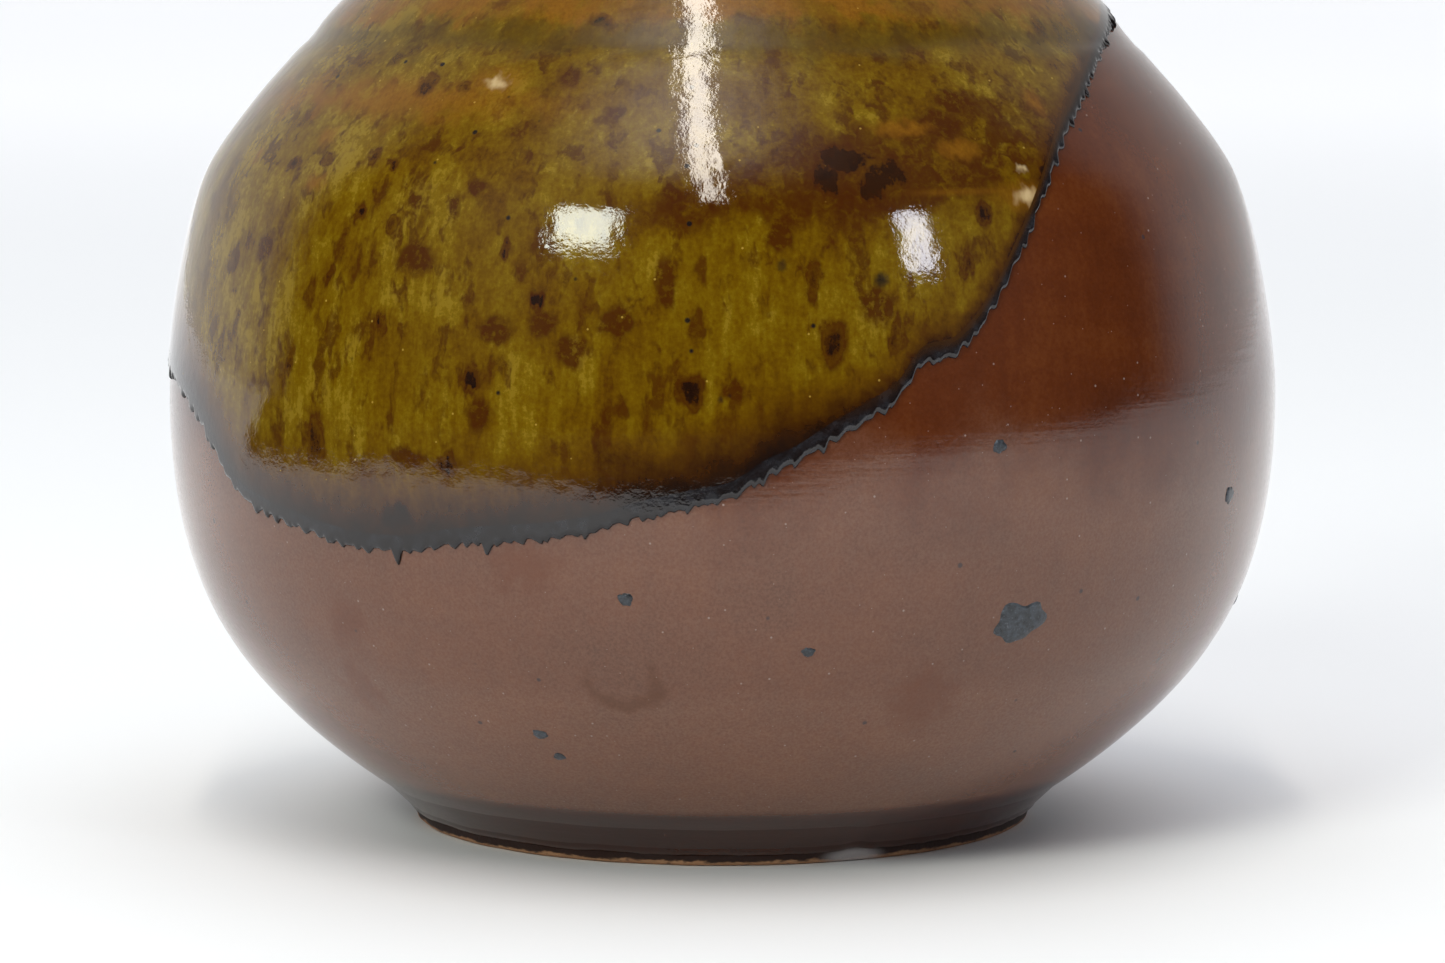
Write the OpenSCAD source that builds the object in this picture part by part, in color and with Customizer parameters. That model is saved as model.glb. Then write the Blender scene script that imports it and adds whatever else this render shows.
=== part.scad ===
// Squat round sake bottle: thrown stoneware with a red-brown glaze all over
// and an olive glaze poured over its upper side.
// Millimetres, +Z up, origin at the centre of the foot on the table.
// Angles go round the pot from the front (-Y) towards its right (+X).

/* [Overall size] */

// Height from the table to the top of the mouth
height = 130; // [100:1:160]
// Widest diameter of the belly, over the glaze
belly_d = 90; // [72:1:110]
// Narrowest diameter of the neck, over the glaze
neck_d = 27; // [22:0.5:34]
// Outer diameter of the flared mouth
mouth_d = 38.5; // [32:0.5:46]
// Diameter of the foot ring where it meets the table
foot_d = 50.6; // [40:0.2:62]

/* [Body line] */

// Height of the end of the trimming, as a percentage of the height
trim_up = 9.2; // [8:0.1:12]
// Width there, as a percentage of the belly
trim_wide = 84; // [80:0.5:88]
// Slope of the wall there, in degrees from upright
trim_lean = 41; // [36:1:46]
// Height of the widest point, as a percentage of the height
belly_up = 26.8; // [24:0.1:30]
// Height where the belly turns into the shoulder, as a percentage
shoulder_up = 41.5; // [38:0.1:45]
// Width there, as a percentage of the belly
shoulder_wide = 91; // [86:0.5:94]
// Slope of the wall there, in degrees from upright
shoulder_lean = 32; // [26:1:38]
// Height of the narrowest point of the neck, as a percentage
neck_up = 74; // [68:0.5:80]
// Outward slope of the neck at the mouth, in degrees from upright
mouth_lean = 22; // [10:1:30]

/* [Foot] */

// Height of the foot ring's outer wall
foot_h = 2.3; // [1.5:0.1:4]
// How much wider the foot is at its top
foot_flare = 0.9; // [0:0.1:2]
// Width of the foot ring
foot_w = 5; // [3.5:0.1:7]
// Depth of the hollow turned inside the foot ring
recess = 1.9; // [1:0.1:2.5]
// Radius of the foot ring's worn outer edge
foot_round = 0.5; // [0.2:0.1:0.8]
// Slope of the wall just above the foot, in degrees from upright
foot_lean = 58; // [50:1:64]

/* [Clay] */

// Thickness of the wall at the belly, with its glaze
wall_low = 4.6; // [3.8:0.1:6]
// Thickness of the wall at the mouth, with its glaze
wall_top = 3.4; // [2.8:0.1:4.4]
// Height of the floor inside, above the table
floor_z = 6.5; // [5.5:0.1:9]

/* [Glaze] */

// Thickness of the brown glaze and of the glaze inside
coat = 0.4; // [0.3:0.05:0.6]
// Height of bare clay left at the foot
bare = 0.7; // [0.6:0.1:1.2]
// Thickness of the olive glaze over the brown one
top_coat = 0.4; // [0.3:0.05:0.5]
// How far the olive glaze reaches down inside the mouth
mouth_run = 9; // [4:1:16]
// Width of the bead along the lower edge of the olive glaze
bead_w = 1.1; // [0.8:0.1:2]
// Thickness of that bead
bead_t = 0.55; // [0.5:0.05:0.9]

/* [Pour line] */

// Mean height of the olive glaze's edge, as a percentage of the height
pour_up = 38.5; // [36:0.5:41]
// Height and angle of its one long slant round the pot
slant = 20; // [14:0.5:23]
slant_at = 130; // [100:1:160]
// Height and angle of its twofold sag
sag = 4.3; // [0:0.1:6]
sag_at = 70; // [40:1:100]
// Height and angle of its threefold ripple
ripple = 2.6; // [0:0.1:4]
ripple_at = 53; // [30:1:80]
// Number of small scallops round the edge, and how deep they hang
scallops = 46; // [24:1:64]
scallop_h = 0.35; // [0:0.05:0.6]

/* [Splashes] */

// Thickness of the biggest drop
splash_t = 0.35; // [0.2:0.05:0.6]
// Blue-grey drops of stray glaze, the biggest first: each has its angle,
// its height as a percentage and its diameter
splashes = [
    [31.2, 16.1, 4], [-9.4, 17.9, 1.2], [-21.3, 9.2, 1.2], [-20, 7.8, 1],
    [8.6, 14.8, 1], [27.1, 26.4, 1.2], [62, 22, 1.6], [84, 14, 1.2],
    [118, 31, 2.4], [126, 25, 1.2], [171, 19, 1.8], [203, 12, 1.2],
    [236, 17, 1.4]
];

/* [Hidden] */

belly_r = belly_d / 2;
foot_r = foot_d / 2;
trim_z = height * trim_up / 100;
trim_r = belly_r * trim_wide / 100;
belly_z = height * belly_up / 100;
shoulder_z = height * shoulder_up / 100;
shoulder_r = belly_r * shoulder_wide / 100;
neck_z = height * neck_up / 100;
neck_r = neck_d / 2;
lip_r = wall_top / 2;               // half-round edge of the mouth
lip_z = height - lip_r * (1 + sin(mouth_lean));
lip_x = mouth_d / 2 - lip_r * (1 - cos(mouth_lean));
lip_steps = 8;
columns = 184;                      // steps round the pot in the pour line
clear = 5;                          // how far cutting shapes stand past
$fn = 120;

// ---- the line of the wall, as points [radius, height] ----

function along(a, lean, reach) = a + reach * [sin(lean), cos(lean)];

// A smooth stretch from a to b. Each lean is the slope from upright and each
// pull is how far that slope is held, as a share of the distance.
function stretch(a, lean_a, pull_a, b, lean_b, pull_b, steps) =
    let (far = norm(b - a),
         c = along(a, lean_a, pull_a * far),
         d = along(b, lean_b, -pull_b * far))
    [for (i = [0:steps - 1]) let (t = i / steps, u = 1 - t)
        u*u*u * a + 3*u*u*t * c + 3*u*t*t * d + t*t*t * b];

// Unit normal at point i, on the glazed side of a line that climbs the
// outside, crosses the lip and goes down the inside.
function normal(line, i) =
    let (n = len(line) - 1,
         way = line[min(i + 1, n)] - line[max(i - 1, 0)])
    [way.y, -way.x] / norm(way);

// The line moved out by a thickness. A point on the axis stays on it.
function moved(line, by) = [for (i = [0:len(line) - 1])
    line[i] + by * (line[i].x == 0 ? [0, 1] : normal(line, i))];

function reversed(line) = [for (i = [len(line) - 1:-1:0]) line[i]];

function first(line, n) = [for (i = [0:n - 1]) line[i]];

function from(line, n) = [for (i = [n:len(line) - 1]) line[i]];

foot_top = [foot_r + foot_flare, foot_h];
lip = [lip_x, lip_z];

low_wall = concat(
    [[foot_r + foot_flare * bare / foot_h, bare]],
    stretch(foot_top, foot_lean, 0.33, [trim_r, trim_z], trim_lean, 0.33, 6));

high_wall = concat(
    stretch([trim_r, trim_z], trim_lean, 0.31, [belly_r, belly_z], 0, 0.44, 10),
    stretch([belly_r, belly_z], 0, 0.23,
            [shoulder_r, shoulder_z], -shoulder_lean, 0.22, 8),
    stretch([shoulder_r, shoulder_z], -shoulder_lean, 0.26,
            [neck_r, neck_z], 0, 0.33, 14),
    stretch([neck_r, neck_z], 0, 0.4, lip, mouth_lean, 0.3, 8),
    [lip]);

outside = concat(low_wall, high_wall);

lip_centre = lip - lip_r * [cos(mouth_lean), -sin(mouth_lean)];
lip_edge = [for (i = [1:lip_steps - 1])
    let (a = 180 * i / lip_steps - mouth_lean)
    lip_centre + lip_r * [cos(a), sin(a)]];

// The wall thins from the belly to the mouth.
function wall_at(z) =
    lookup(z, [[belly_z, wall_low], [neck_z, wall_top], [height, wall_top]]);

inner_wall = reversed([for (i = [0:len(high_wall) - 1])
    high_wall[i] - wall_at(high_wall[i].y) * normal(high_wall, i)]);

inside = concat(
    first(inner_wall, len(inner_wall) - 1),
    stretch(inner_wall[len(inner_wall) - 1], 180 + trim_lean, 0.3,
            [0, floor_z], -90, 0.4, 10),
    [[0, floor_z]]);

glazed = concat(outside, lip_edge, inside);     // face of the first coat
clay = moved(glazed, -coat);                    // face of the clay under it
crest = len(outside) + lip_steps / 2;           // points up to the lip's top
poured = crest + lip_steps / 2 - 1              // points the olive coat covers
    + len([for (p = inner_wall) if (p.y > height - mouth_run) p]);

// ---- shapes shared by the glazes ----

// A skin of the pot's own line, between two distances from the first coat.
module skin(line, low, high)
    rotate_extrude()
        polygon(concat(moved(line, high), reversed(moved(line, low))));

// Height of the lower edge of the olive glaze at angle a.
function pour_z(a) = height * pour_up / 100
    + slant * cos(a - slant_at)
    + sag * cos(2 * (a - sag_at))
    + ripple * cos(3 * (a - ripple_at))
    + scallop_h * cos(scallops * a);

// A tube round the pot with that edge as its top, to cut the coats with.
module below_pour(lift) {
    tube_in = neck_r / 2;
    tube_out = belly_r + clear;
    rings = [[tube_in, 0], [tube_out, 0], [tube_out, 1], [tube_in, 1]];
    points = [for (i = [0:columns - 1], c = rings)
        let (a = 360 * i / columns)
        [c[0] * sin(a), -c[0] * cos(a), c[1] * (pour_z(a) + lift)]];
    faces = [for (i = [0:columns - 1], c = [0:3])
        let (j = (i + 1) % columns, d = (c + 1) % 4,
             here = 4 * i, there = 4 * j)
        each [[here + c, there + d, there + c],
              [here + c, here + d, there + d]]];
    polyhedron(points, faces);
}

// ---- the pieces ----

// The thrown and trimmed pot: foot, belly, neck and mouth in one.
module clay_body() {
    foot_in = foot_r - foot_w;
    edge = clay[0].x - foot_round;
    worn_edge = [for (a = [0:30:60]) [
        edge + foot_round * sin(a), foot_round * (1 - cos(a))]];
    color([0.62, 0.40, 0.26])
        rotate_extrude()
            polygon(concat(
                [[0, recess], [foot_in - 1, recess], [foot_in, 0]],
                worn_edge, clay));
}

// The red-brown glaze, from above the foot's edge to the top of the mouth.
module brown_glaze()
    color([0.36, 0.20, 0.17])
        rotate_extrude()
            polygon(concat(first(glazed, crest), reversed(first(clay, crest))));

// The liner glaze, from the top of the mouth down over the floor inside.
module inner_glaze()
    color([0.30, 0.17, 0.13])
        rotate_extrude()
            polygon(concat(from(glazed, crest - 1), reversed(from(clay, crest - 1))));

// The olive glaze poured over the shoulder and neck.
module olive_glaze()
    color([0.42, 0.36, 0.14])
        difference() {
            skin(first(glazed, poured), 0, top_coat);
            below_pour(bead_w);
        }

// The thick rolled bead where the olive glaze stopped running.
module glaze_bead()
    color([0.14, 0.11, 0.11])
        intersection() {
            difference() {
                skin(outside, 0, bead_t);
                below_pour(0);
            }
            below_pour(bead_w);
        }

// Stray drops, each a low dome whose flat back touches the brown glaze.
module glaze_splashes() {
    silhouette = [for (p = outside) [p.y, p.x]];
    color([0.52, 0.53, 0.60])
        for (s = splashes) {
            z = height * s[1] / 100;
            lean = atan2(lookup(z + 1, silhouette) - lookup(z - 1, silhouette), 2);
            wide = s[2] / 2;
            tall = splash_t * (0.4 + 0.6 * s[2] / splashes[0][2]);
            dome = [for (a = [0:22.5:90]) [wide * cos(a), tall * sin(a)]];
            rotate(s[0] - 90)
                translate([lookup(z, silhouette), 0, z])
                    rotate([0, 90 + lean, 0])
                        rotate_extrude()
                            polygon(concat([[0, 0]], dome));
        }
}

clay_body();
brown_glaze();
inner_glaze();
olive_glaze();
glaze_bead();
glaze_splashes();
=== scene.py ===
"""The looks of a squat stoneware sake bottle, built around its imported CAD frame.

Sizes are in millimetres and angles in degrees, as in the CAD part. Angles go round the
pot from its front (-Y) towards its right (+X). "Rise" is the distance above the lower
edge of the poured olive glaze.
"""

import math

import bpy
import numpy as np
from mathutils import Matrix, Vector


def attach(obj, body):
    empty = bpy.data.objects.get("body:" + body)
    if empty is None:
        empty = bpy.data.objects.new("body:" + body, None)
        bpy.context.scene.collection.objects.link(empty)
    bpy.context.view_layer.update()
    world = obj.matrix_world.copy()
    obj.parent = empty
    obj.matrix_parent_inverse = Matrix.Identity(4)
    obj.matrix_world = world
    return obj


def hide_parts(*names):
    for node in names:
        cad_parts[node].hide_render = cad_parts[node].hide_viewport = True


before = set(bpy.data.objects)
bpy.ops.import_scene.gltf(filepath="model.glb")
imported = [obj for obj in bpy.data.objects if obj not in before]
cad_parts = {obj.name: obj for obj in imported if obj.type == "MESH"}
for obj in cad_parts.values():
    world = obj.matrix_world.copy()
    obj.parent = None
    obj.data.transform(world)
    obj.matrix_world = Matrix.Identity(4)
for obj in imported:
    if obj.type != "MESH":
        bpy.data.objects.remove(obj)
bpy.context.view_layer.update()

MM = 0.001
rng = np.random.default_rng(7)

# ---- sizes, the same as the CAD part's ----

HEIGHT = 130.0
BELLY_R = 45.0
NECK_R = 13.5
MOUTH_R = 19.25
FOOT_R = 25.3
FOOT_H = 2.3
FOOT_FLARE = 0.9
FOOT_W = 5.0
RECESS = 1.9
BARE = 0.7              # bare clay left at the foot
COAT = 0.4              # brown and inner glaze
TOP_COAT = 0.4          # olive glaze over the brown
BEAD_W = 1.1            # rolled edge of the olive glaze
EDGE_T = 0.28           # thickness just behind that edge
MOUTH_RUN = 9.0         # olive glaze inside the mouth
WALL_LOW = 4.6
WALL_TOP = 3.4
FLOOR_Z = 6.5
TRIM = (0.84 * BELLY_R, 0.092 * HEIGHT)
SHOULDER = (0.91 * BELLY_R, 0.415 * HEIGHT)
BELLY_Z = 0.268 * HEIGHT
NECK_Z = 0.74 * HEIGHT
FOOT_LEAN, TRIM_LEAN, SHOULDER_LEAN, MOUTH_LEAN = 58, 41, 32, 22

# ---- the lines of the wall, as points (radius, height) ----


def reach(lean):
    return np.array([math.sin(math.radians(lean)), math.cos(math.radians(lean))])


def stretch(a, lean_a, pull_a, b, lean_b, pull_b, steps=60):
    """A smooth stretch from a up to b. Each lean is the slope from upright and each
    pull is how far that slope is held, as a share of the distance."""
    a, b = np.array(a, float), np.array(b, float)
    far = np.linalg.norm(b - a)
    c = a + pull_a * far * reach(lean_a)
    d = b - pull_b * far * reach(lean_b)
    t = np.linspace(0, 1, steps, endpoint=False)[:, None]
    u = 1 - t
    return u**3 * a + 3 * u**2 * t * c + 3 * u * t**2 * d + t**3 * b


def normals(points):
    way = np.gradient(points, axis=0)
    way /= np.linalg.norm(way, axis=1)[:, None]
    return np.stack([way[:, 1], -way[:, 0]], axis=1)


class Line:
    """A line of the wall, read by the distance s along it."""

    def __init__(self, points):
        self.points = points
        self.normal = normals(points)
        steps = np.linalg.norm(np.diff(points, axis=0), axis=1)
        self.s = np.concatenate([[0], np.cumsum(steps)])

    def at(self, s):
        read = [np.interp(s, self.s, v) for v in (*self.points.T, *self.normal.T)]
        return read  # radius, height, normal outwards, normal upwards


lip_r = WALL_TOP / 2
lip_sin, lip_cos = reach(MOUTH_LEAN)
lip = (MOUTH_R - lip_r * (1 - lip_cos), HEIGHT - lip_r * (1 + lip_sin))
foot_top = (FOOT_R + FOOT_FLARE, FOOT_H)

low_wall = np.concatenate([
    [(FOOT_R + FOOT_FLARE * BARE / FOOT_H, BARE)],
    stretch(foot_top, FOOT_LEAN, 0.33, TRIM, TRIM_LEAN, 0.33)])
high_wall = np.concatenate([
    stretch(TRIM, TRIM_LEAN, 0.31, (BELLY_R, BELLY_Z), 0, 0.44),
    stretch((BELLY_R, BELLY_Z), 0, 0.23, SHOULDER, -SHOULDER_LEAN, 0.22),
    stretch(SHOULDER, -SHOULDER_LEAN, 0.26, (NECK_R, NECK_Z), 0, 0.33),
    stretch((NECK_R, NECK_Z), 0, 0.4, lip, MOUTH_LEAN, 0.3),
    [lip]])
outside = np.concatenate([low_wall, high_wall])

lip_centre = np.array(lip) - lip_r * np.array([lip_cos, -lip_sin])
turn = np.radians(np.arange(10, 180, 10) - MOUTH_LEAN)
lip_edge = lip_centre + lip_r * np.stack([np.cos(turn), np.sin(turn)], axis=1)

thick = np.interp(high_wall[:, 1], [BELLY_Z, NECK_Z], [WALL_LOW, WALL_TOP])
inner_wall = (high_wall - thick[:, None] * normals(high_wall))[::-1]
floor_curve = stretch(inner_wall[-1], 180 + TRIM_LEAN, 0.3, (0, FLOOR_Z), -90, 0.4)
inside = np.concatenate([inner_wall[:-1], floor_curve, [(0, FLOOR_Z)]])

wall = Line(np.concatenate([outside, lip_edge, inside]))
S_LIP = wall.s[len(outside) - 1]
S_CREST = wall.s[len(outside) + len(lip_edge) // 2]
S_INSIDE = wall.s[len(outside) + len(lip_edge)]
S_END = wall.s[-1]


def s_at_height(z):
    """The distance along the outside at which the wall reaches height z."""
    return np.interp(z, outside[:, 1], wall.s[:len(outside)])


# ---- the poured edge: angle, height of its lower edge ----

POUR_LINE = [
    (-180, 62.0), (-155, 56.0), (-130, 49.5), (-105, 42.5), (-88, 38.6),
    (-72, 36.5), (-64, 34.3), (-60, 31.9), (-56, 29.4), (-51, 28.1), (-46, 27.4),
    (-38, 26.4), (-32, 26.4), (-26, 27.2), (-21, 27.6), (-16, 28.0), (-12, 28.6),
    (-8, 29.6), (-3, 30.5), (1.5, 31.4), (3.5, 32.5), (7, 33.8), (10, 35.3),
    (14, 37.0), (17, 38.6), (18.5, 40.2), (23, 41.6), (27, 44.7), (30, 47.8),
    (34.5, 52.2), (39.5, 55.8), (46, 58.7), (56, 61.9), (70, 64.5), (90, 66.6),
    (115, 68.0), (140, 67.6), (160, 65.6),
]
# The larger teeth that hang from it: angle, drop, width
MAIN_TEETH = [
    (-33.2, 1.2, 0.9), (-23.1, 1.1, 1.1), (-26.5, 0.45, 0.9), (-19.5, 0.3, 0.7),
    (-16.8, 0.4, 0.7), (-13.1, 0.6, 0.7), (-6.4, 0.5, 1.1), (-3.3, 0.6, 0.8),
    (1.3, 0.35, 0.9), (3.8, 0.75, 0.8), (9.5, 0.8, 0.8), (12.3, 0.35, 0.8),
    (15.4, 0.6, 0.9), (18, 0.45, 0.8), (21, 0.4, 0.9), (25.5, 0.35, 0.8),
    (-42, 0.5, 0.9), (-47.5, 0.4, 0.8), (-53, 0.6, 1.0), (-58.5, 0.5, 0.9),
]
FRONT = (-60, 27)       # span of angles that those teeth cover


def pour_height(angle):
    """The smooth height of the poured edge, eased between the stations."""
    a, z = np.array(POUR_LINE).T
    a = np.concatenate([a[-2:] - 360, a, a[:2] + 360])
    z = np.concatenate([z[-2:], z, z[:2]])
    slope = np.gradient(z, a)
    i = np.clip(np.searchsorted(a, angle, side="right") - 1, 0, len(a) - 2)
    span = a[i + 1] - a[i]
    t = (angle - a[i]) / span
    return ((1 + 2 * t) * (1 - t)**2 * z[i] + t * (1 - t)**2 * span * slope[i]
            + t**2 * (3 - 2 * t) * z[i + 1] + t**2 * (t - 1) * span * slope[i + 1])


def all_teeth():
    """The larger teeth, small ones between them, and more round the pot. Each is an
    angle, a drop, a width and a skew to one side."""
    teeth = [(*tooth, rng.uniform(-0.5, 0.5)) for tooth in MAIN_TEETH]
    angle = -180.0
    while angle < 180:
        far = not FRONT[0] < angle < FRONT[1]
        drop = rng.uniform(0.15, 0.55) + (0.6 * rng.random()**4 if far else 0)
        teeth.append((angle, drop, rng.uniform(0.7, 1.3), rng.uniform(-0.7, 0.7)))
        angle += rng.uniform(0.9, 2.2)
    return teeth


TEETH = all_teeth()


def tooth_drop(angle):
    """How far the serrated edge hangs below the smooth one."""
    drop = 0.1 * wander(angle, 41, 5) + 0.06 * wander(angle, 97, 9)
    for at, low, wide, skew in TEETH:
        off = ((angle - at + 180) % 360 - 180) * math.radians(BELLY_R)
        off = np.where(off < 0, off / (1 - skew), off / (1 + skew))
        drop = np.maximum(drop, low * np.clip(1.1 - np.abs(off) * 2 / wide, 0, 1))
    return drop


def wander(angle, waves, seed):
    """An uneven wave round the pot, from about -1 to 1, that closes on itself."""
    a = np.radians(angle)
    p = np.random.default_rng(seed).uniform(0, 2 * math.pi, 3)
    return (np.sin(waves * a + p[0]) + 0.6 * np.sin((waves + 2) * a + p[1])
            + 0.5 * np.sin((waves // 2 + 1) * a + p[2])) / 1.6


# ---- the surfaces ----

# Grooves and ridges thrown round the wall: height, how far out, how wide
THROWN = [(63.6, -0.16, 0.6), (65.6, 0.07, 1.0), (59.5, 0.03, 0.9), (15.6, -0.04, 0.35)]


def throwing(angle, z):
    """Ridges left by the potter's fingers, in mm out from the smooth wall."""
    a = np.radians(angle)
    ridges = (0.002 * np.sin(2 * math.pi * z / 3.3 + a)
              + 0.007 * np.sin(2 * math.pi * z / 8.6 - a + 0.6))
    thrown = sum(out * np.exp(-((z - at) / wide)**2) for at, out, wide in THROWN)
    fade = np.clip((z - FOOT_H) / 3, 0, 1) * np.clip((HEIGHT - z) / 6, 0, 1)
    return (ridges + thrown) * fade


def place(angle, s, lift=0.0):
    """Points in metres at angle round the pot and s along its wall."""
    angle, s = np.broadcast_arrays(angle, s)
    r, z, out, up = wall.at(s)
    lift = lift + np.where(s < S_LIP, throwing(angle, z), 0)
    r, z = np.maximum(r + lift * out, 0), z + lift * up
    a = np.radians(angle)
    return np.stack([r * np.sin(a), -r * np.cos(a), z], axis=-1) * MM


def coat_height(rise, tooth):
    """Thickness of the olive glaze over the brown, thinning to its rounded edge."""
    start = np.clip((rise + tooth + 0.1) / 0.45, 0, 1)
    far = np.clip((rise + 0.1) / 18, 0, 1)
    body = EDGE_T + (TOP_COAT - EDGE_T) * far**2 * (3 - 2 * far)
    return body * np.sqrt(1 - (1 - start)**2)


# ---- meshes ----

SHARP = 50              # edges bent by more than this stay sharp
CHIP_AT = 24            # the angle of a chip in the foot


def new_piece(name, points, faces, node):
    mesh = bpy.data.meshes.new(name)
    mesh.from_pydata(points.tolist(), [], faces)
    mesh.shade_smooth()
    mesh.set_sharp_from_angle(angle=math.radians(SHARP))
    piece = bpy.data.objects.new(name, mesh)
    bpy.context.collection.objects.link(piece)
    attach(piece, "root")
    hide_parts(node)
    return piece


def quads(rows, columns, first=0, closed=False):
    """Faces of a grid of points that closes round the pot, and over its rows too
    when closed."""
    i = np.arange(rows if closed else rows - 1)[:, None]
    j = np.arange(columns)[None, :]
    up, on = (i + 1) % rows, (j + 1) % columns
    corners = [i * columns + j, i * columns + on, up * columns + on, up * columns + j]
    return (first + np.stack(corners, axis=-1)).reshape(-1, 4).tolist()


def ring_piece(name, grid, node):
    """A piece whose cross-section is a closed loop clear of the axis."""
    rows, columns = grid.shape[:2]
    faces = quads(rows, columns, closed=True)
    return new_piece(name, grid.reshape(-1, 3), faces, node)


def bowl_piece(name, grid, node):
    """A piece whose cross-section starts and ends on the axis."""
    columns = grid.shape[1]
    middle = grid[1:-1].reshape(-1, 3)
    points = np.concatenate([grid[:1, 0], middle, grid[-1:, 0]])
    rows = len(grid) - 2
    last, top = len(points) - 1, 1 + (rows - 1) * columns
    turn_on = [(j, (j + 1) % columns) for j in range(columns)]
    faces = [(0, 1 + k, 1 + j) for j, k in turn_on]
    faces += quads(rows, columns, first=1)
    faces += [(top + j, top + k, last) for j, k in turn_on]
    return new_piece(name, points, faces, node)


def angles(columns):
    return np.linspace(-180, 180, columns, endpoint=False)[None, :]


def add_rise(piece, rise):
    """Keeps each point's rise for the material to read."""
    kept = piece.data.attributes.new("rise", "FLOAT", "POINT")
    kept.data.foreach_set("value", rise.ravel())


def clay_piece(columns=288):
    """Foot, belly, neck and mouth of bare clay, with a worn and chipped foot."""
    a = angles(columns)
    foot_in = FOOT_R - FOOT_W
    under = np.array([
        (0, RECESS), (6, RECESS), (12, RECESS - 0.15), (foot_in - 1.6, RECESS - 0.1),
        (foot_in - 0.9, RECESS - 0.35), (foot_in - 0.35, 0.5), (foot_in + 0.1, 0.08),
        (foot_in + 0.7, 0), (FOOT_R - 2.2, 0), (FOOT_R - 0.9, 0.0),
        (FOOT_R - 0.45, 0.06), (FOOT_R - 0.2, 0.22), (FOOT_R - 0.12, 0.45)])
    r, z = under.T[:, :, None]
    worn = 0.05 * wander(a, 23, 3) * np.clip((r - foot_in - 1) / 3, 0, 1)
    chip = 0.22 * np.exp(-((a - CHIP_AT) / 4.5)**2) * np.clip((r - FOOT_R + 0.6) / 0.4, 0, 1)
    spiral = 0.05 * np.sin(r * 2.6 + np.radians(a)) * ((r > 0.5) & (r < foot_in - 2))
    r = r - worn - chip
    z = np.broadcast_to(z, r.shape) + spiral * (r > 0) + 0.25 * chip
    t = np.radians(a)
    below = np.stack([r * np.sin(t), -r * np.cos(t), z], axis=-1) * MM
    s = np.concatenate([np.linspace(0, S_LIP, 90), np.linspace(S_LIP, S_INSIDE, 13)[1:],
                        np.linspace(S_INSIDE, S_END, 60)[1:]])[:, None]
    above = place(a, s, -COAT)
    above[-1, :, :2] = 0
    grid = np.concatenate([below, above])
    return bowl_piece("clay_pot", grid, "clay_body")


def brown_piece(columns=640):
    """The brown coat outside, from its uneven line at the foot to the mouth's crest."""
    a = angles(columns)
    low = 0.12 + 0.12 * wander(a, 17, 11) + 0.05 * wander(a, 61, 12)
    low = low * 0.5 + 0.22 * np.exp(-((a - CHIP_AT) / 2.6)**2)
    v = np.linspace(0, 1, 132)[:, None]**1.12
    s = low + (S_CREST - low) * v
    # The glaze thins out to a rounded edge at the foot.
    edge = np.clip((s - low) / 0.35, 0, 1)
    outer = place(a, s, -COAT * (1 - np.sqrt(1 - (1 - edge)**2)) * 0.9)
    back = np.linspace(1, 0, 24)[:, None]
    inner = place(a, low + (S_CREST - low) * back, -COAT)
    return ring_piece("brown_coat", np.concatenate([outer, inner]),
                      "brown_glaze")


def liner_piece(columns=288):
    """The coat inside, from the mouth's crest to the middle of the floor."""
    a = angles(columns)
    s = np.concatenate([np.linspace(S_CREST, S_INSIDE, 7),
                        np.linspace(S_INSIDE, S_END, 110)[1:]])[:, None]
    rings = 0.09 * np.sin(s * 2 * math.pi / 6.5 + np.radians(a))
    rings = rings * np.clip((s - S_INSIDE) / 12, 0, 1) * np.clip((S_END - s) / 3, 0, 1)
    clay_side, glazed = place(a, s[::-1], -COAT), place(a, s, rings)
    for pole in (clay_side[0], glazed[-1]):
        pole[:, :2] = 0
    return bowl_piece("liner_coat", np.concatenate([clay_side, glazed]),
                      "inner_glaze")


def edge_frame(columns):
    """For each column: its angle, s of the smooth poured edge, and its teeth."""
    a = angles(columns)
    return a, s_at_height(pour_height(a)), tooth_drop(a)


def olive_piece(columns=720):
    """The olive coat from its bead up over the mouth and a little way inside."""
    a, s_edge, tooth = edge_frame(columns)
    s_top = wall.s[np.argmax((wall.s > S_INSIDE)
                             & (wall.points[:, 1] < HEIGHT - MOUTH_RUN))]
    v = np.linspace(0, 1, 110)[:, None]**1.35
    rise = BEAD_W + (s_top + 0.5 * wander(a, 7, 4) - s_edge - BEAD_W) * v
    hem = np.clip((rise[-1:] - rise) / 0.6, 0, 1)   # rounded end inside the mouth
    swell = 0.03 * wander(a, 13, 21) * np.exp(-rise / 6)
    lift = (coat_height(rise, tooth) + swell) * np.sqrt(1 - (1 - hem)**2)
    outer = place(a, s_edge + rise, lift)
    back = np.linspace(1, 0, 16)[:, None]
    rise_back = BEAD_W + (rise[-1:] - BEAD_W) * back
    inner = place(a, s_edge + rise_back, 0.0)
    piece = ring_piece("olive_coat", np.concatenate([outer, inner]),
                       "olive_glaze")
    add_rise(piece, np.concatenate([rise, rise_back]))
    return piece


def bead_piece(columns=2160):
    """The serrated edge of the olive coat, where the glaze gathered and went dark."""
    a, s_edge, tooth = edge_frame(columns)
    v = np.linspace(0, 1, 13)[:, None]
    rise = -tooth - 0.1 + (BEAD_W + tooth + 0.1) * v**1.25
    swell = 0.03 * wander(a, 13, 21) * np.exp(-np.maximum(rise, 0) / 6)
    outer = place(a, s_edge + rise, coat_height(rise, tooth) + swell * v)
    back = rise[::-4]
    inner = place(a, s_edge + back, -0.04)
    piece = ring_piece("pour_bead", np.concatenate([outer, inner]),
                       "glaze_bead")
    add_rise(piece, np.concatenate([rise, back]))
    return piece


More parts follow.
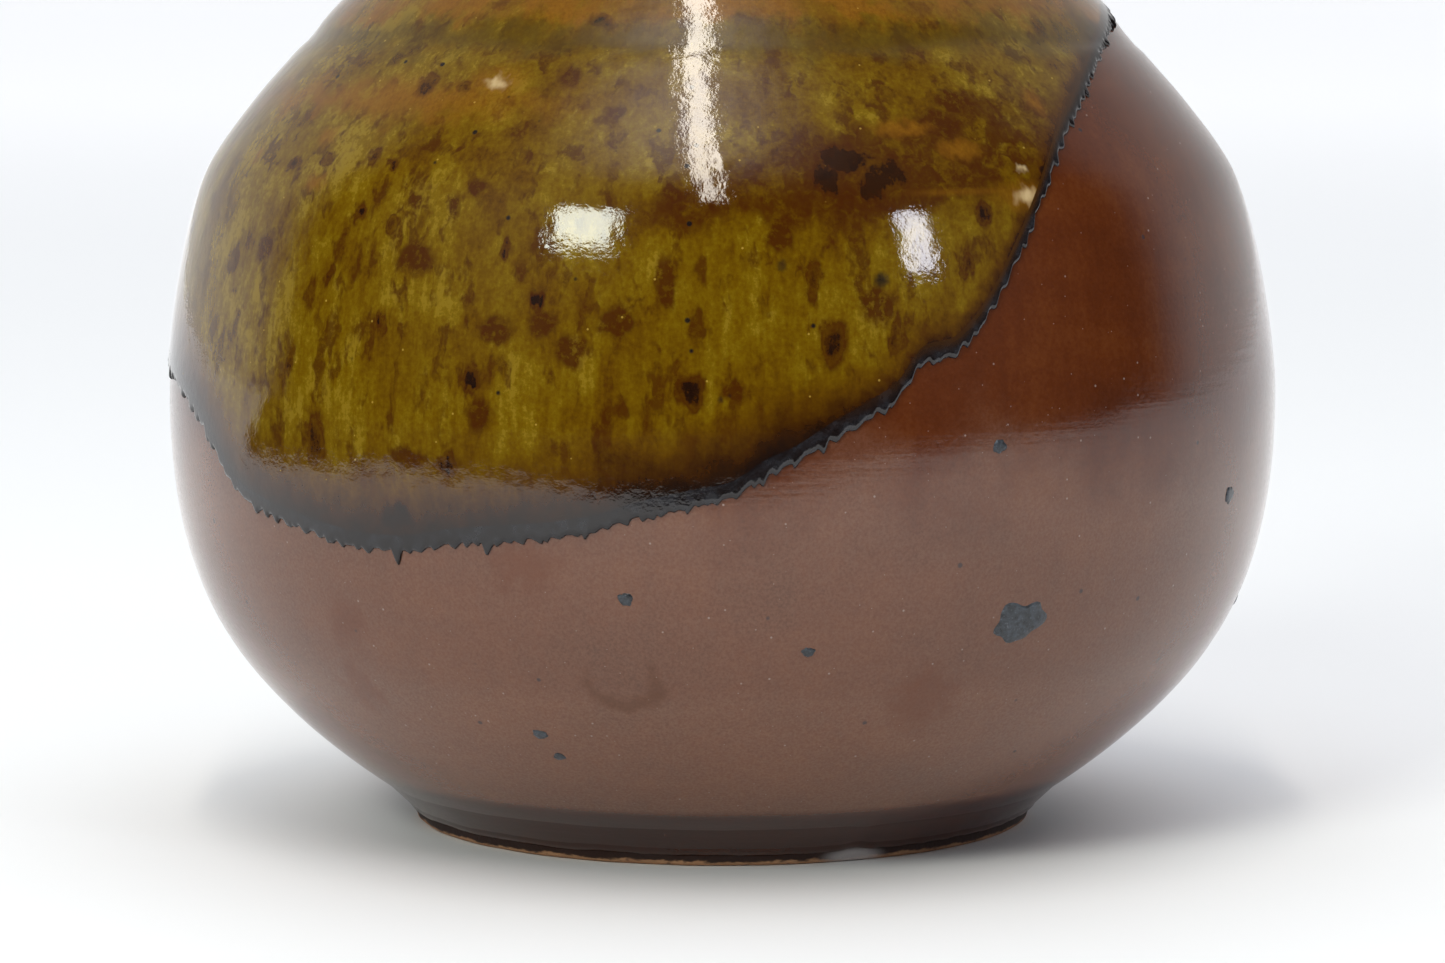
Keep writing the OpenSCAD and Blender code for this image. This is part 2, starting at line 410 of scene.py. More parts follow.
# Stray drops as in the CAD part, the biggest first: angle, height, width
SPLASHES = [
    (31.2, 20.9, 4.2), (-9.4, 23.3, 1.2), (-21.3, 12.0, 1.2), (-20, 10.1, 1.0),
    (8.6, 19.2, 1.0), (27.1, 34.3, 1.2), (62, 28.6, 1.6), (84, 18.2, 1.2),
    (118, 40.3, 2.4), (126, 32.5, 1.2), (171, 24.7, 1.8), (203, 15.6, 1.2),
    (236, 22.1, 1.4),
]
DROP_T = 0.13           # how far a drop stands up


def splash_piece(rings=7, spokes=40):
    """Every drop as a low blob with an uneven outline, bedded in the brown glaze."""
    turn_deg = np.arange(spokes) * 360 / spokes
    points, faces = [], []
    for n, (angle, height, wide) in enumerate(SPLASHES):
        lobe = 1 + 0.13 * wander(turn_deg, 3, 30 + n) + 0.08 * wander(turn_deg, 7, 60 + n)
        if n == 0:      # the biggest is heart-shaped, notched at its top
            off = np.abs((turn_deg - 90 + 180) % 360 - 180)
            lobe = lobe * (1 - 0.34 * np.exp(-(off / 24)**2)) * 1.05
        t = np.linspace(1, 1 / rings, rings)[:, None]
        far = wide / 2 * lobe * t
        u, v = far * np.cos(np.radians(turn_deg)), far * np.sin(np.radians(turn_deg))
        s = s_at_height(height)
        r = wall.at(s)[0]
        a = angle + np.degrees(u / r)
        top = place(a, s + 0.85 * v, -0.03 + (0.03 + DROP_T) * np.sqrt(1 - t**3))
        bottom = place(a[0], s + 0.85 * v[0], -0.06)
        base = sum(len(p) for p in points)
        grid = np.concatenate([bottom[None], top]).reshape(-1, 3)
        ends = np.stack([bottom.mean(axis=0), place(angle, s, DROP_T)])
        points.append(np.concatenate([grid, ends]))
        faces += quads(rings + 1, spokes, first=base)
        low, high = base + len(grid), base + len(grid) + 1
        last_ring = base + rings * spokes
        for j in range(spokes):
            k = (j + 1) % spokes
            faces += [(low, base + k, base + j), (high, last_ring + j, last_ring + k)]
    return new_piece("stray_drops", np.concatenate(points), faces,
                     "glaze_splashes")


# ---- materials ----


class Nodes:
    """Short calls that add nodes to one node tree."""

    def __init__(self, tree):
        self.tree = tree

    def new(self, kind, values=None, **settings):
        node = self.tree.nodes.new(kind)
        for key, value in settings.items():
            setattr(node, key, value)
        for key, value in (values or {}).items():
            self.feed(node.inputs[key], value)
        return node

    def feed(self, socket, value):
        if isinstance(value, bpy.types.NodeSocket):
            self.tree.links.new(value, socket)
        else:
            socket.default_value = value

    def vector(self, operation, a, b=(0, 0, 0), scale=1.0):
        values = {0: a, "Scale": scale} if operation == "SCALE" else {0: a, 1: b}
        return self.new("ShaderNodeVectorMath", values, operation=operation).outputs[0]

    def math(self, operation, a, b=0.0):
        return self.new("ShaderNodeMath", {0: a, 1: b}, operation=operation).outputs[0]

    def times(self, a, b):
        return self.math("MULTIPLY", a, b)

    def add(self, first, *rest):
        for value in rest:
            first = self.math("ADD", first, value)
        return first

    def highest(self, a, b):
        return self.math("MAXIMUM", a, b)

    def ramp(self, value, low, high, to_low=0.0, to_high=1.0):
        """Eases from to_low to to_high while value goes from low to high."""
        values = {0: value, 1: low, 2: high, 3: to_low, 4: to_high}
        return self.new("ShaderNodeMapRange", values,
                        interpolation_type="SMOOTHSTEP").outputs[0]

    def band(self, value, low, high, soft):
        """1 between low and high, fading over soft at each side."""
        rise = self.ramp(value, low - soft, low + soft)
        return self.times(rise, self.ramp(value, high - soft, high + soft, 1, 0))

    def mix(self, amount, a, b):
        node = self.new("ShaderNodeMix", data_type="RGBA")
        for key, value in (("Factor", amount), ("A", a), ("B", b)):
            kind = "VALUE" if key == "Factor" else "RGBA"
            socket = next(i for i in node.inputs if i.name == key and i.type == kind)
            self.feed(socket, (*value, 1) if isinstance(value, tuple) else value)
        return next(o for o in node.outputs if o.type == "RGBA")

    def palette(self, value, stops):
        """The colour at value, between stops of (value, colour)."""
        node = self.new("ShaderNodeValToRGB", {0: value})
        marks = node.color_ramp.elements
        marks[0].position, marks[1].position = stops[0][0], stops[-1][0]
        for place, _ in stops[1:-1]:
            marks.new(place)
        for mark, (_, colour) in zip(marks, stops):
            mark.color = (*colour, 1)
        return node.outputs[0]

    def noise(self, at, scale=1.0, detail=2.0, rough=0.5):
        values = {"Vector": at, "Scale": scale, "Detail": detail, "Roughness": rough}
        return self.new("ShaderNodeTexNoise", values).outputs["Fac"]

    def swing(self, size, *noise_settings):
        """Noise as a swing of about size / 4 to each side of 0."""
        even = self.math("SUBTRACT", self.noise(*noise_settings), 0.5)
        return self.times(even, size)


class Surface(Nodes):
    """The nodes of one material on the pot or its stage. Positions are in mm."""

    def __init__(self, name, **settings):
        self.material = bpy.data.materials.new(name)
        self.material.use_nodes = True
        super().__init__(self.material.node_tree)
        self.shader = self.tree.nodes["Principled BSDF"]
        for socket, value in settings.items():
            self.shader.inputs[socket].default_value = value
        found = self.new("ShaderNodeTexCoord").outputs["Object"]
        self.at = self.vector("SCALE", found, scale=1 / MM)
        self.x, self.y, self.z = self.new("ShaderNodeSeparateXYZ", {0: self.at}).outputs

    def squeezed(self, across, up, at=None):
        """The position with its sideways and upright sizes multiplied."""
        return self.vector("MULTIPLY", at or self.at, (across, across, up))

    def shaken(self, at, scale, size):
        """Positions moved about unevenly, by up to about size / 4."""
        found = self.new("ShaderNodeTexNoise", {"Vector": at, "Scale": scale})
        centred = self.vector("SUBTRACT", found.outputs["Color"], (0.5, 0.5, 0.5))
        return self.vector("ADD", self.at, self.vector("SCALE", centred, scale=size))

    def specks(self, offset, scale, radius, share):
        """Round dots in a share of the cells of a grid, from 0 to 1."""
        at = self.vector("ADD", self.at, (offset, 2 * offset, 3 * offset))
        cells = self.new("ShaderNodeTexVoronoi", {"Vector": at, "Scale": scale})
        red = self.new("ShaderNodeSeparateColor", {0: cells.outputs["Color"]}).outputs[0]
        dot = self.ramp(cells.outputs["Distance"], radius * 0.5, radius, 1, 0)
        return self.times(dot, self.math("LESS_THAN", red, share))

    def spot(self, at, angle, height, wide, tall, soft=0.5):
        """A blot on the outer wall, 1 inside and 0 outside its size in mm."""
        r = float(wall.at(s_at_height(height))[0])
        a = math.radians(angle)
        centre = (r * math.sin(a), -r * math.cos(a), height)
        off = self.vector("SUBTRACT", at, centre)
        off = self.vector("MULTIPLY", off, (2 / wide, 2 / wide, 2 / tall))
        far = self.new("ShaderNodeVectorMath", {0: off}, operation="LENGTH").outputs[1]
        return self.ramp(far, 1 - soft, 1 + soft, 1, 0)

    def spots(self, at, places, soft=0.5):
        found = 0.0
        for place_size in places:
            found = self.highest(self.spot(at, *place_size, soft=soft), found)
        return found

    def angle(self):
        """Degrees round the pot from the front."""
        turned = self.math("ARCTAN2", self.x, self.times(self.y, -1))
        return self.times(turned, 180 / math.pi)

    def attribute(self, name):
        return self.new("ShaderNodeAttribute", attribute_name=name).outputs["Fac"]

    def finish(self, colour, rough, height=None, bump=0.1):
        """Joins colour, roughness and a height in mm to the surface."""
        self.feed(self.shader.inputs["Base Color"], colour)
        self.feed(self.shader.inputs["Roughness"], rough)
        if height is not None:
            values = {"Height": height, "Distance": MM, "Strength": bump}
            normal = self.new("ShaderNodeBump", values).outputs[0]
            self.feed(self.shader.inputs["Normal"], normal)
            self.feed(self.shader.inputs["Coat Normal"], normal)
        return self.material


def clay_material():
    n = Surface("bare_clay")
    tone = n.noise(n.at, 0.35, 4, 0.6)
    colour = n.mix(tone, (0.3, 0.13, 0.06), (0.52, 0.3, 0.16))
    grit = n.specks(0, 1.6, 0.4, 0.35)
    colour = n.mix(n.times(grit, 0.7), colour, (0.1, 0.05, 0.03))
    # Glaze has stained the clay dark, but for an uneven line at the very bottom.
    stain = n.add(n.z, n.swing(0.9, n.squeezed(0.45, 1), 1.0, 3, 0.7))
    colour = n.mix(n.ramp(stain, 0.26, 0.46), colour, (0.022, 0.007, 0.004))
    chip = n.spot(n.at, CHIP_AT, 0.4, 4.4, 1.3)
    colour = n.mix(n.times(chip, 0.8), colour, (0.5, 0.46, 0.46))
    grain = n.noise(n.at, 3.2, 3, 0.6)
    return n.finish(colour, n.ramp(tone, 0, 1, 0.7, 0.9), grain, 0.25)


# Redder patches on the brown glaze: angle, height on the pot, how wide, how tall
RED_PATCHES = [
    (-19.7, 25.4, 4.6, 4.0), (21.7, 14.9, 5, 6), (-42, 20, 4, 4), (-44, 14.8, 4, 5),
    (75, 25, 7, 9), (140, 18, 8, 6), (-120, 24, 7, 7), (-165, 30, 9, 8),
]
# The brown glaze from its darkest to its lightest, as (tone, colour)
BROWN = [
    (0.0, (0.03, 0.005, 0.0005)), (0.3, (0.055, 0.009, 0.0006)),
    (0.6, (0.08, 0.0145, 0.001)), (1.0, (0.12, 0.03, 0.004)),
]


def brown_material():
    n = Surface("brown_iron_glaze", IOR=1.5)
    loose = n.shaken(n.at, 0.45, 5)
    fine = n.noise(n.at, 2.6, 3, 0.65)
    lines = n.noise(n.squeezed(0.08, 1.4))
    tone = n.add(0.56, n.swing(0.9, n.squeezed(0.07, 0.16), 1.0, 3, 0.55),
                 n.swing(0.5, n.squeezed(0.45, 0.035), 1.0, 3, 0.6),
                 n.swing(0.5, n.at, 2.6, 3, 0.65))
    colour = n.palette(tone, BROWN)
    # A pale veil is painted on the lower half as a painted reflection of the pale floor, more
    # on the trimmed foot end and none on the foot band.
    uneven = n.add(n.z, n.swing(16, n.at, 0.12, 2), n.swing(3, n.at, 0.9, 2))
    painted_floor_veil = n.add(n.ramp(uneven, 27, 37, 0.28, 0.03), n.ramp(n.z, 14.4, 16.8, 0.07, 0))
    grain = n.noise(n.at, 4.5, 3, 0.7)
    painted_floor_veil = n.times(painted_floor_veil, n.add(n.ramp(grain, 0.3, 0.7, 0.65, 1.25),
                                 n.times(lines, 0.15)))
    painted_floor_veil = n.times(painted_floor_veil, n.ramp(n.z, 4.3, 5.4))
    colour = n.mix(painted_floor_veil, colour, (0.30, 0.165, 0.105))
    patches = n.spots(loose, RED_PATCHES, 0.6)
    colour = n.mix(n.times(patches, 0.5), colour, (0.11, 0.025, 0.004))
    near = n.shaken(n.at, 0.6, 1.6)
    ring = n.spot(near, -10.2, 16.5, 6.2, 5.2, 0.2)
    hole = n.spot(near, -10.7, 17.3, 4.8, 4.4, 0.25)
    ring = n.times(ring, n.math("SUBTRACT", 1.0, hole))
    colour = n.mix(n.times(ring, 0.6), colour, (0.085, 0.024, 0.004))
    pale = n.highest(n.specks(0, 0.9, 0.1, 0.25), n.specks(4, 2.2, 0.12, 0.1))
    dark = n.specks(9, 0.42, 0.11, 0.25)
    colour = n.mix(n.times(pale, 0.3), colour, (0.55, 0.47, 0.42))
    colour = n.mix(n.times(dark, 0.75), colour, (0.02, 0.02, 0.025))
    # Painted shade: the foot band is darkened where it reflects the shadowed floor under the
    # belly.
    foot = n.ramp(n.z, 4.2, 5.3, 0.75, 0)
    colour = n.mix(foot, colour, (0.03, 0.008, 0.004))
    rough = n.ramp(fine, 0.3, 0.75, 0.1, 0.2)
    height = n.add(n.times(fine, 0.5), n.times(lines, 0.7), n.times(dark, -1.2))
    return n.finish(colour, rough, height, 0.03)


# The olive glaze from its darkest to its lightest, as (tone, colour)
OLIVE = [
    (0.0, (0.009, 0.0035, 0.002)), (0.12, (0.033, 0.0100, 0.0012)),
    (0.28, (0.062, 0.023, 0.001)), (0.42, (0.083, 0.034, 0.001)),
    (0.55, (0.100, 0.046, 0.001)), (0.68, (0.117, 0.059, 0.001)),
    (0.82, (0.136, 0.075, 0.0015)), (0.92, (0.155, 0.092, 0.003)),
    (1.0, (0.20, 0.125, 0.008)),
]

# Marks in the olive glaze: angle, height on the pot, how wide, how tall.
# Dark spots of iron, nearly black in the middle
DARK_SPOTS = [
    (-17.9, 45.0, 0.9, 1.5), (-24.4, 39.0, 1.1, 3.2), (-3.0, 38.6, 1.7, 2.4),
    (8.8, 46.4, 1.2, 2.8), (10.4, 42.1, 1.9, 3.0), (16.8, 42.4, 1.2, 3.0),
    (-26.6, 32.9, 2.0, 1.4), (-37.9, 60.2, 1.8, 2.8), (-31.9, 60.0, 1.1, 2.6),
    (-40.4, 54.9, 1.3, 1.7), (-37.3, 54.4, 1.0, 1.3), (-52.9, 54.4, 1.6, 1.3),
    (-47.6, 54.8, 1.5, 1.1), (-39.7, 50.7, 1.0, 1.8), (-35.0, 50.1, 1.4, 1.5),
    (-36.3, 47.8, 0.8, 1.0), (-59.7, 46.8, 1.4, 2.4), (-42.5, 46.5, 1.0, 1.7),
    (-21.6, 48.7, 0.8, 1.3), (-16.8, 65.3, 1.8, 1.4), (-46.8, 39.9, 1.1, 2.2),
    (-42.6, 34.3, 1.7, 3.6), (-34.7, 43.2, 1.1, 2.0), (-32.8, 28.8, 3.0, 2.4),
    (24.7, 47.3, 1.0, 2.8), (27.1, 51.1, 1.2, 2.2), (36.5, 54.0, 1.8, 1.6),
    (13.2, 55.4, 4.4, 2.2), (10.8, 53.8, 2.2, 3.2), (17.3, 54.2, 3.6, 2.4),
    (15.3, 53.4, 2.0, 3.0),
]
# Softer rust-red spots
RUST_SPOTS = [
    (-22.0, 43.0, 2.2, 1.8), (-17.2, 43.4, 1.8, 1.8), (-14.3, 41.5, 2.0, 2.2),
    (-10.1, 43.8, 2.6, 2.0), (-5.3, 46.1, 1.3, 4.0), (15.0, 44.9, 2.2, 2.4),
    (0.9, 38.9, 1.8, 1.4), (-23.4, 36.7, 1.6, 2.2), (-32.9, 52.1, 1.4, 1.6),
    (-27.8, 51.8, 1.2, 1.6), (-25.9, 53.3, 1.6, 1.2), (-31.7, 48.0, 2.8, 2.2),
    (-53.5, 48.0, 1.8, 2.4), (-18.6, 61.1, 1.6, 1.6), (-12.2, 58.4, 1.3, 1.6),
    (-31.1, 33.3, 2.6, 1.4), (24.8, 57.7, 3.4, 2.2), (-5.0, 52.9, 1.6, 1.2),
    (27.5, 59.5, 3.0, 1.6), (5.6, 50.0, 1.6, 2.4),
]
BLACK_DOTS = [
    (-11.2, 41.0, 0.5, 0.5), (-19.7, 38.4, 0.45, 0.45), (-0.2, 38.2, 0.6, 0.7),
    (-2.3, 45.2, 0.5, 0.6), (3.8, 42.5, 0.5, 0.6), (-38.1, 40.3, 0.6, 0.9),
    (-32.5, 44.2, 0.7, 0.8), (24.7, 50.4, 0.5, 0.5), (-18.3, 45.4, 0.6, 0.7),
    (-17.5, 46.2, 0.4, 0.4), (5.7, 47.8, 0.9, 1.0), (15.4, 46.7, 1.2, 1.2),
]
AMBER_SPOTS = [
    (-42.3, 59.6, 7, 2.8), (-49.4, 56.4, 1.8, 1.6), (-62.1, 54.5, 1.0, 2.2),
    (-47.7, 53.2, 2.0, 1.0), (-28, 60.6, 4.2, 2.6), (39.1, 59.0, 1.6, 3.4),
    (32.7, 52.6, 4.4, 1.8), (26, 56.0, 3.0, 1.2), (20, 57.6, 4.0, 1.0),
]
CREAM_SPOTS = [(-28, 60.7, 1.5, 1.1), (32.7, 52.6, 1.9, 1.1), (33.1, 54.5, 0.8, 0.6)]
BUBBLES = [(5.7, 47.8, 0.8, 0.8), (15.4, 46.7, 0.8, 0.8), (0.1, 55.2, 1.1, 1.1),
           (-17.6, 48.9, 0.6, 0.6), (-31.5, 58.4, 0.5, 0.5)]


def olive_tone(n, angle):
    """Deep glaze is light and greenish. Thin or iron-rich glaze is dark and red. On the left
    side the tone is raised as painted light.
    """
    return n.add(0.72, n.swing(1.0, n.squeezed(0.2, 0.13), 1.0, 2, 0.5),
                 n.swing(0.9, n.squeezed(0.6, 0.3), 1.0, 3, 0.65),
                 n.swing(0.45, n.squeezed(1.6, 0.14), 1.0, 3, 0.6),
                 n.swing(0.18, n.squeezed(4.2, 0.7), 1.0, 3, 0.6),
                 n.swing(0.7, n.at, 2.6, 3, 0.7), n.ramp(angle, -45, -20, 0.13, 0))


def brown_band(n, angle, high, loose):
    """The mottled brown band that climbs to the right over the shoulder."""
    top = n.add(52.6, n.ramp(angle, -8, 12, 0, 5.2), n.ramp(angle, 12, 38, 0, 2.4))
    bottom = n.add(50.7, n.ramp(angle, 16, 34, 0, 3))
    band = n.times(n.ramp(n.math("SUBTRACT", high, bottom), -1.1, 1.1),
                   n.ramp(n.math("SUBTRACT", top, high), -0.8, 0.8))
    band = n.times(band, n.band(angle, -9, 44, 5))
    mottle = n.noise(n.squeezed(0.5, 0.7, loose), 1.0, 3, 0.7)
    return n.times(band, n.ramp(mottle, 0.34, 0.56, 0.35, 1))


def rust_cover(n, loose, dark, brown):
    """How rusty the glaze is: in spots, in patches, round dark spots and in the band."""
    field = n.noise(n.squeezed(0.55, 0.26, loose), 1.0, 3, 0.6)
    rust = n.highest(n.ramp(n.spots(loose, RUST_SPOTS, 1), 0, 0.6),
                     n.ramp(field, 0.5, 0.66, 0, 0.85))
    rust = n.highest(rust, n.ramp(dark, 0, 0.45))
    rust = n.times(rust, n.ramp(n.noise(n.at, 1.8, 3, 0.7), 0.36, 0.52, 0.6, 1))
    rust = n.highest(rust, n.times(brown, n.ramp(field, 0.3, 0.6, 0.5, 0.95)))
    return n.times(rust, n.ramp(dark, 0.35, 0.85, 0.9, 0.1))


def amber_cover(n, angle, high, loose, dark):
    """How amber the glaze is: in spots, on a ridge, on the neck and along a line."""
    amber = n.times(n.spots(loose, AMBER_SPOTS, 0.8), 0.8)
    ridge = n.times(n.band(high, 58.6, 60.4, 1.2), n.band(angle, -75, -22, 14))
    amber = n.highest(amber, n.times(ridge, 0.85))
    run = n.ramp(n.noise(n.squeezed(0.28, 0.03), 1.0, 3, 0.6), 0.42, 0.6, 0.95, 0.3)
    amber = n.highest(amber, n.times(n.ramp(high, 64.9, 66.2), run))
    line = n.times(n.band(n.z, 52.8, 53.2, 0.25), n.band(angle, 20, 36, 3))
    amber = n.highest(amber, n.times(line, 0.4))
    return n.times(amber, n.ramp(dark, 0, 1, 1, 0.1))


def neck_colours(n, colour, high):
    """Adds the thrown groove, the darker rings of the neck and the browner lip."""
    groove = n.times(n.band(high, 63.2, 64.9, 0.9), 0.6)
    colour = n.mix(groove, colour, (0.07, 0.042, 0.006))
    rings = n.ramp(n.noise(n.squeezed(0.02, 0.3), 1.0, 2, 0.6), 0.52, 0.7, 0, 0.55)
    colour = n.mix(n.times(rings, n.ramp(n.z, 66, 70)), colour, (0.07, 0.026, 0.002))
    lip_break = n.ramp(n.add(n.z, n.swing(3, n.at, 0.4, 3, 0.6)), 125.5, 128.5, 0, 0.85)
    return n.mix(lip_break, colour, (0.075, 0.022, 0.003))


def small_marks(n, colour, loose):
    """Adds the cream spots, black dots and specks of gold."""
    cream = n.spots(loose, CREAM_SPOTS, 0.8)
    colour = n.mix(n.times(cream, 0.75), colour, (0.62, 0.47, 0.25))
    dots = n.spots(n.shaken(n.at, 3, 0.3), BLACK_DOTS, 0.5)
    dots = n.highest(dots, n.specks(0, 0.36, 0.1, 0.4))
    colour = n.mix(n.times(dots, 0.9), colour, (0.008, 0.006, 0.006))
    return n.mix(n.times(n.specks(5, 0.8, 0.09, 0.2), 0.45), colour, (0.55, 0.36, 0.06))


def olive_material():
    n = Surface("olive_ash_glaze", IOR=1.5)
    loose = n.shaken(n.squeezed(1, 0.5), 1.1, 1.6)
    angle, rise = n.angle(), n.attribute("rise")
    streaks = n.noise(n.squeezed(4.2, 0.7), 1.0, 3, 0.6)
    high = n.add(n.z, n.swing(5, n.squeezed(0.35, 0.3), 1.0, 3, 0.6))
    brown = brown_band(n, angle, high, loose)
    dark = n.spots(loose, DARK_SPOTS, 0.75)
    tone = n.add(olive_tone(n, angle), n.times(brown, -0.2),
                 n.ramp(dark, 0.3, 0.95, 0, -0.65))
    tone = n.highest(tone, n.times(brown, 0.06))
    # It pools darker towards its lower edge, in a narrower strip on the right.
    near = n.times(n.add(rise, n.swing(2.6, loose, 0.6, 3, 0.6)),
                   n.ramp(angle, 3, 25, 1, 2.4))
    pooled = n.ramp(near, 0.6, 7.8)
    colour = n.palette(n.times(tone, pooled), OLIVE)
    rust = rust_cover(n, loose, dark, brown)
    colour = n.mix(n.times(rust, pooled), colour, (0.048, 0.0105, 0.001))
    amber = n.mix(streaks, (0.11, 0.035, 0.002), (0.24, 0.105, 0.006))
    colour = n.mix(amber_cover(n, angle, high, loose, dark), colour, amber)
    colour = small_marks(n, neck_colours(n, colour, high), loose)
    height = n.add(n.times(n.noise(n.squeezed(0.03, 0.4), 1.0, 0), 0.25),
                   n.times(streaks, 0.02), n.times(n.noise(n.at, 1.3, 3, 0.6), 0.28),
                   n.times(n.noise(n.at, 0.5, 1), 0.5),
                   n.times(n.noise(n.at, 5, 2, 0.6), 0.08),
                   n.times(n.spots(n.at, BUBBLES, 0.9), 1.2))
    return n.finish(colour, n.ramp(streaks, 0.3, 0.7, 0.03, 0.06), height, 0.05)


def bead_material():
    n = Surface("pooled_dark_glaze", IOR=1.5)
    tone = n.noise(n.at, 0.9, 3, 0.6)
    # Near-black glaze, flecked with faint blue-grey as a painted highlight of glints along
    # its teeth.
    colour = n.mix(n.ramp(tone, 0.4, 0.68), (0.008, 0.005, 0.005), (0.016, 0.015, 0.018))
    thin = n.times(n.ramp(n.angle(), 5, 30), n.ramp(n.attribute("rise"), 0.1, 1.1))
    colour = n.mix(thin, colour, (0.045, 0.016, 0.002))
    fine = n.noise(n.at, 4, 2, 0.5)
    return n.finish(colour, n.ramp(tone, 0.3, 0.7, 0.07, 0.13), fine, 0.03)


def liner_material():
    n = Surface("brown_liner_glaze", IOR=1.5)
    tone = n.noise(n.squeezed(0.12, 0.3), 1.0, 4, 0.6)
    colour = n.mix(n.ramp(tone, 0.35, 0.65), (0.05, 0.014, 0.004), (0.12, 0.04, 0.01))
    fine = n.noise(n.at, 2.4, 3, 0.6)
    colour = n.mix(n.ramp(fine, 0.5, 0.75, 0, 0.4), colour, (0.03, 0.01, 0.004))
    return n.finish(colour, n.ramp(fine, 0.3, 0.7, 0.12, 0.25), fine, 0.04)


def splash_material():
    n = Surface("blue_grey_drops", IOR=1.5)
    tone = n.noise(n.at, 1.6, 4, 0.7)
    colour = n.mix(n.ramp(tone, 0.38, 0.68), (0.012, 0.014, 0.017), (0.05, 0.06, 0.075))
    fine = n.noise(n.at, 5, 2, 0.6)
    colour = n.mix(n.ramp(fine, 0.6, 0.75, 0, 0.5), colour, (0.2, 0.21, 0.24))
    return n.finish(colour, n.ramp(tone, 0.3, 0.7, 0.25, 0.45), tone, 0.12)


# ---- stage, camera and light ----

CAMERA_Y, CAMERA_Z = -409.2, 71.4
CAMERA_DOWN = 6.14
LENS, SENSOR = 125, 36
PAPER_HALF = 6000       # half the width of the paper floor
# Painted light on the paper: a glow towards the back and a brighter glow seen only in the
# glaze.
PAINTED_BACK_GLOW = 0.3         # how far the paper is brighter towards the back
PAINTED_SHINE = 0.35            # how much brighter it is in the glaze
PALE_PAPER, PAINTED_DARK_SHEET = (0.9, 0.9, 0.905), (0.01, 0.01, 0.01)


def plain_material(name, colour, rough):
    """A matt surface of nearly even colour, for the stage."""
    n = Surface(name)
    grain = n.noise(n.at, 0.004, 2)
    shade = tuple(0.985 * c for c in colour)
    # Farther back the paper glows with painted light of its own, and away from the pot it
    # glows more in reflections only, as a painted reflection brighter in the glaze than a
    # screen can show.
    level = sum(colour) / 3
    far = n.ramp(n.y, -100, 2000, 0, PAINTED_BACK_GLOW * level)
    away = n.math("SQRT", n.add(n.times(n.x, n.x), n.times(n.y, n.y)))
    shine = n.ramp(away, 50, 170, 0, PAINTED_SHINE * level)
    shine = n.times(shine, n.new("ShaderNodeLightPath").outputs["Is Glossy Ray"])
    n.feed(n.shader.inputs["Emission Color"], (1.0, 0.97, 0.95, 1))
    n.feed(n.shader.inputs["Emission Strength"], n.add(far, shine))
    return n.finish(n.mix(grain, shade, colour), rough)


def flat_piece(name, corners, z):
    mesh = bpy.data.meshes.new(name)
    points = [(x * MM, y * MM, z * MM) for x, y in corners]
    mesh.from_pydata(points, [], [tuple(range(len(points)))])
    piece = bpy.data.objects.new(name, mesh)
    bpy.context.collection.objects.link(piece)
    return piece


def build_stage():
    far = PAPER_HALF
    floor = flat_piece("paper_floor", [(-far, -far), (far, -far), (far, far), (-far, far)], 0)
    floor.data.materials.append(plain_material("pale_paper", PALE_PAPER, 0.6))
    # The room in front of the paper is dark. A black sheet that only reflections see stands
    # for it as a painted reflection of that darkness, cut to the edge of the paper.
    edge = [(-230, 60), (-190, -100), (-100, -165), (0, -172), (150, -250), (330, -240),
            (900, -60)]
    dark = flat_piece("dark_room", [*edge, (far, -60), (far, -far), (-far, -far),
                                    (-far, 1600)], 0.5)
    dark.data.materials.append(plain_material("painted_dark_sheet", PAINTED_DARK_SHEET, 0.9))
    dark.visible_camera = dark.visible_diffuse = dark.visible_shadow = False
    dark.visible_transmission = dark.visible_volume_scatter = False


def build_camera():
    data = bpy.data.cameras.new("camera")
    data.lens, data.sensor_width = LENS, SENSOR
    data.clip_start, data.clip_end = 0.01, 20
    camera = bpy.data.objects.new("camera", data)
    camera.location = (0, CAMERA_Y * MM, CAMERA_Z * MM)
    camera.rotation_euler = (math.radians(90 - CAMERA_DOWN), 0, 0)
    bpy.context.collection.objects.link(camera)
    bpy.context.scene.camera = camera


# Lamps that face the pot: name, place, size across and up, radiance, colour, and
# whether they light matt surfaces or only shine in the glaze. The panes that shine
# are smaller than the windows.
LAMPS = [
    ("window_left", (-600, -1000, 740), (420, 370), 17, (0.95, 1.0, 0.93), "matt"),
    ("window_right", (965, -1000, 715), (200, 420), 8, (0.9, 0.92, 1.0), "matt"),
    ("pane_left", (-594, -990, 733), (300, 250), 17, (0.93, 1.0, 0.9), "shine"),
    ("pane_right", (955, -990, 708), (125, 320), 17, (0.9, 0.92, 1.0), "shine"),
]
# A long ceiling lamp runs towards the camera, over the pot.
STREAK = ((-75, -20, 1060), (-45, -1150, 1060))
STREAK_W = 66
STREAK_RADIANCE, STREAK_COLOUR = 16, (1.0, 0.93, 0.82)
POT_MIDDLE = (0, 0, 50)


def add_area(name, place_mm, size, radiance, colour, aim):
    """A lamp of size mm whose face has the given radiance."""
    data = bpy.data.lights.new(name, "AREA")
    data.shape = "RECTANGLE"
    data.size, data.size_y = size[0] * MM, size[1] * MM
    data.energy = radiance * math.pi * data.size * data.size_y
    data.color = colour
    light = bpy.data.objects.new(name, data)
    light.location = np.array(place_mm) * MM
    light.rotation_euler = aim
    light.visible_camera = False
    bpy.context.collection.objects.link(light)
    return light


